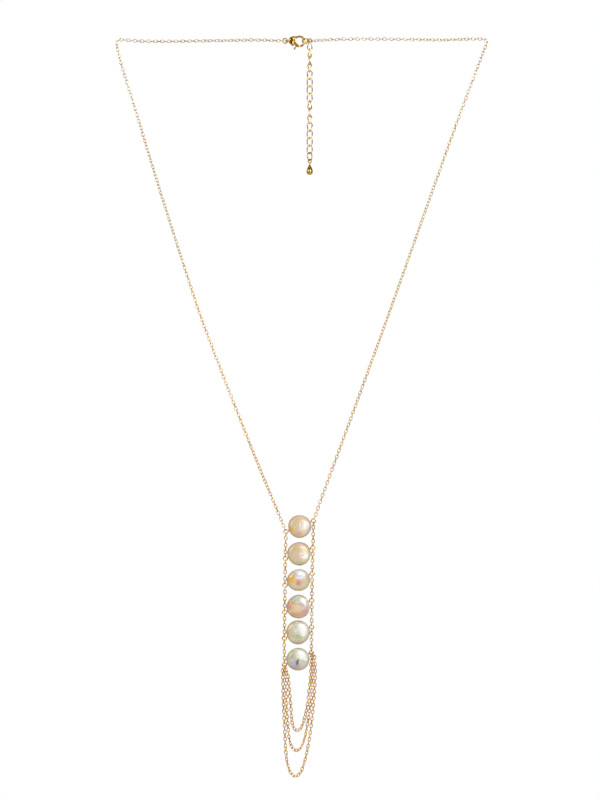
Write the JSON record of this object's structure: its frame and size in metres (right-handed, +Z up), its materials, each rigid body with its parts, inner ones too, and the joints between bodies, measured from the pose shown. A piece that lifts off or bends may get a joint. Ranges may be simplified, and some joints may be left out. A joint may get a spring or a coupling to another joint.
{
  "type": "pearl drop necklace",
  "caption": "Long fine-chain necklace with lobster clasp and extender; a ladder of coin pearls on looped pins hangs from it, with chain swags below.",
  "frame": {"origin": "middle of the line on which the chain hangs, between its two upper corners, at the back of the neck", "axes": "+X to the right as seen from the front, +Z up, +Y away from the viewer"},
  "size_m": [0.1866, 0.007, 0.3712],
  "materials": {
    "chain_gold": "polished",
    "pin_gold": "polished",
    "clasp_gold": "polished",
    "pearl": "lustrous"
  },
  "bodies": {
    "necklace": {"neck_chain_left": "chain_gold", "neck_chain_right": "chain_gold", "clasp_ring": "clasp_gold", "clasp_body": "clasp_gold", "clasp_link": "clasp_gold", "extender_ring": "clasp_gold", "extender_chain": "clasp_gold", "drop_ring": "clasp_gold", "extender_drop": "clasp_gold", "eye_pin_1": "pin_gold", "eye_pin_2": "pin_gold", "eye_pin_3": "pin_gold", "eye_pin_4": "pin_gold", "eye_pin_5": "pin_gold", "eye_pin_6": "pin_gold", "pearl_1": "pearl", "pearl_2": "pearl", "pearl_3": "pearl", "pearl_4": "pearl", "pearl_5": "pearl", "pearl_6": "pearl", "left_chain_1": "chain_gold", "left_chain_2": "chain_gold", "left_chain_3": "chain_gold", "left_chain_4": "chain_gold", "left_chain_5": "chain_gold", "right_chain_1": "chain_gold", "right_chain_2": "chain_gold", "right_chain_3": "chain_gold", "right_chain_4": "chain_gold", "right_chain_5": "chain_gold", "swag_inner": "chain_gold", "swag_middle": "chain_gold", "swag_outer": "chain_gold"},
    "lever": {"clasp_lever": "clasp_gold"}
  },
  "joints": [
    {"name": "lever_hinge", "type": "hinge", "parent": "necklace", "child": "lever", "pos_m": [-0.0043, 0, 0.0003], "axis": [0, 1, 0], "range_deg": [0, 25], "stiffness_Nm_per_rad": 0.01}
  ]
}
